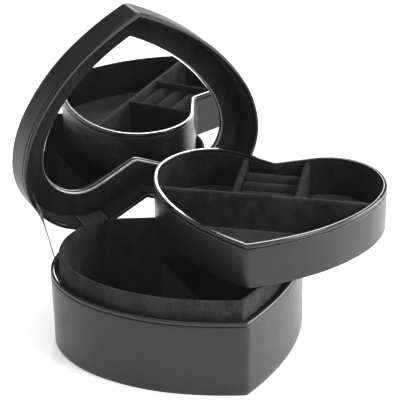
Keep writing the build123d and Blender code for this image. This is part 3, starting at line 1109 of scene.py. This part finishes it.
def ribbon_skin(name, rows, thickness):
    """A thin closed strip from rows of points across it."""
    steps, across = len(rows), len(rows[0])
    grid = np.array([[tuple(p) for p in row] for row in rows])
    along = np.gradient(grid, axis=0)
    over = np.gradient(grid, axis=1)
    normal = np.cross(along, over)
    normal /= np.maximum(np.linalg.norm(normal, axis=2, keepdims=True), 1e-12)
    shift = normal * thickness / 2
    points = np.vstack([(grid + shift).reshape(-1, 3), (grid - shift).reshape(-1, 3)])
    back = steps * across
    faces = []
    for i in range(steps - 1):
        for j in range(across - 1):
            a, b = i * across + j, i * across + j + 1
            c, d = b + across, a + across
            faces += [(a, b, c, d), (back + d, back + c, back + b, back + a)]
    rim = list(range(across))
    rim += [i * across + across - 1 for i in range(1, steps)]
    rim += [(steps - 1) * across + j for j in range(across - 2, -1, -1)]
    rim += [i * across for i in range(steps - 2, 0, -1)]
    for a, b in zip(rim, rim[1:] + rim[:1]):
        faces.append((b, a, back + a, back + b))
    return mesh_piece(name, points, faces)


for side in ("left", "right"):
    piece, strap_length = strap(f"hinge_strap_{side}", side)
    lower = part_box(f"hinge_strap_{side}_base_half")[1]
    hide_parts(f"hinge_strap_{side}_base_half", f"hinge_strap_{side}_lid_half")
    dress(piece, book_cloth, None)
    piece.data.materials.append(frayed_edge)
    middle = (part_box(f"hinge_strap_{side}_base_half")[0].x + lower.x) / 2
    for face in piece.data.polygons:
        if abs(face.center.x - middle) > STRAP_WIDTH * 0.47:
            face.material_index = 1
    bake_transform(piece)


# Ribbon stay: narrow black satin ribbon, tucked into the gap beside the collar and glued
# inside the lid wall. It has a half twist and stops the lid from falling back.
def satin_ribbon():
    """Satin: fine threads along the ribbon and a soft streak of light."""
    finish, tree, shader = new_finish("black_satin_ribbon", (0.03, 0.03, 0.03), 0.4)
    thread = grain(tree, 2200, 3.0, (1, 0.2, 0.1))
    paint(tree, shader, thread, (0.02, 0.02, 0.02), (0.06, 0.06, 0.06))
    relief(tree, shader, [(thread, 0.00004)])
    shader.inputs["Anisotropic"].default_value = 0.5
    return finish


RIBBON_WIDTH = 0.0036
RIBBON_THICK = 0.0003
RIBBON_STEPS = 80
AT_RIM, FREE_SHARE, AT_HEAD, AT_LIP = 0.14, 0.70, 0.84, 0.90
TWIST_AT, TWIST_RATE = 0.76, 17
BROADWAYS = Vector((0.915, -0.283, 0.269))
EDGEWAYS = Vector((-0.375, -0.835, 0.39))
ALONG_GAP = Vector((0.53, 0.85, 0.0))
UP_LINING = Vector((-0.12, 0.0, 0.99))
SAG = Vector((0.0005, -0.0008, 0))


def stay():
    """The ribbon from the gap to the lid, turning half round on the way up."""
    low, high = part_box("stay_ribbon")
    tab_low, tab_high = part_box("stay_ribbon_lid_tab")
    foot = Vector((high.x - 0.0022, low.y + 0.001, low.z))
    rim = Vector((high.x - 0.0040, low.y + 0.0042, rim_top + 0.0012))
    head = Vector((low.x + 0.0024, high.y - 0.0012, high.z))
    lip = Vector((low.x + 0.0012, tab_low.y - 0.0008, high.z + 0.0016))
    tab = Vector(((tab_low.x + tab_high.x) / 2, tab_high.y - 0.001, (tab_low.z + tab_high.z) / 2))
    rows = []
    for step in range(RIBBON_STEPS + 1):
        t = step / RIBBON_STEPS
        s = min(max((t - AT_RIM) / FREE_SHARE, 0), 1)
        if t < AT_RIM:
            middle = foot.lerp(rim, t / AT_RIM)
        elif t < AT_HEAD:
            middle = rim.lerp(head, s) + SAG * math.sin(math.pi * s)
        elif t < AT_LIP:
            middle = head.lerp(lip, (t - AT_HEAD) / (AT_LIP - AT_HEAD))
        else:
            middle = lip.lerp(tab, (t - AT_LIP) / (1 - AT_LIP))
        turn = math.pi * (1 / (1 + math.exp((s - TWIST_AT) * TWIST_RATE)) - 0.02)
        flat = BROADWAYS * math.sin(turn) + EDGEWAYS * math.cos(turn)
        settled = min(max((t - 0.10) / 0.10, 0), 1)
        glued = min(max((t - 0.82) / 0.06, 0), 1)
        flat = -ALONG_GAP * (1 - settled) + flat * settled
        flat = flat * (1 - glued) + UP_LINING * glued
        flat.normalize()
        width = RIBBON_WIDTH * (1.0 - 0.25 * math.sin(math.pi * s))
        rows.append([middle + flat * width * (k / 6 - 0.5) for k in range(7)])
    return ribbon_skin("ribbon_stay", rows, RIBBON_THICK)


ribbon = stay()
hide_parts("stay_ribbon", "stay_ribbon_lid_tab")
dress(ribbon, satin_ribbon(), None)
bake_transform(ribbon)


# Table and light: a white sweep with softboxes above, behind, at the right and in front, in
# a room that is bright low down and dim overhead.
TABLE_HALF = 3.0
TABLE_GLOW = 0.4
SOFTBOXES = (
    ("light_above", (-0.1, 0.1, 1.6), (0, 0.1, 0), 1.1, 8),
    ("light_right", (1.0, -0.30, 0.32), (0.03, 0, 0.03), 0.7, 14),
    ("light_window", (0.66, 1.32, 0.84), (0, 0, 0.06), 0.45, 7),
    ("light_front", (0.65, -1.10, 0.86), (0, 0, 0.06), 0.4, 15),
    ("light_behind", (0.2, 1.1, 2.2), (0.2, 1.0, 0), 1.2, 12),
)
SHADOW_LIFT = 0.005


def white_sweep():
    """The pale table that the box stands on."""
    finish, tree, shader = new_finish("white_sweep", (0.86, 0.86, 0.86), 0.6)
    mottle = grain(tree, 4, 2.0)
    paint(tree, shader, mottle, (0.85, 0.85, 0.85), (0.87, 0.87, 0.87))
    corners = [(x * TABLE_HALF, y * TABLE_HALF, 0) for x, y in ((-1, -1), (1, -1), (1, 1), (-1, 1))]
    table = mesh_piece("table", corners, [(0, 1, 2, 3)])
    table.data.materials.append(finish)
    shader.inputs["Emission Color"].default_value = (1, 1, 1, 1)
    shader.inputs["Emission Strength"].default_value = TABLE_GLOW


def soft_light(name, place, target, size, power):
    """A square softbox that faces the target."""
    lamp = bpy.data.objects.new(name, bpy.data.lights.new(name, "AREA"))
    lamp.data.size = size
    lamp.data.energy = power
    lamp.location = place
    lamp.rotation_euler = (Vector(target) - Vector(place)).to_track_quat("-Z", "Y").to_euler()
    bpy.context.scene.collection.objects.link(lamp)


white_sweep()
for softbox in SOFTBOXES:
    soft_light(*softbox)


def studio_room():
    """A room that is bright low down and dim overhead and behind."""
    room = bpy.data.worlds.new("studio_room")
    room.use_nodes = True
    tree = room.node_tree
    way = tree.nodes.new("ShaderNodeTexCoord")
    aim = tree.nodes.new("ShaderNodeVectorMath")
    aim.operation = "DOT_PRODUCT"
    aim.inputs[1].default_value = (0.0, 0.35, 1.0)
    tree.links.new(way.outputs["Generated"], aim.inputs[0])
    tree.links.new(
        two_tone(tree, aim.outputs["Value"], (0.75, 0.75, 0.75), (0.11, 0.11, 0.11), 0.38, 0.57),
        tree.nodes["Background"].inputs["Color"],
    )
    bpy.context.scene.world = room


studio_room()
tone = bpy.context.scene.view_settings
tone.view_transform = "Standard"
tone.use_curve_mapping = True
tone.curve_mapping.black_level = (-SHADOW_LIFT, -SHADOW_LIFT, -SHADOW_LIFT)
tone.curve_mapping.update()
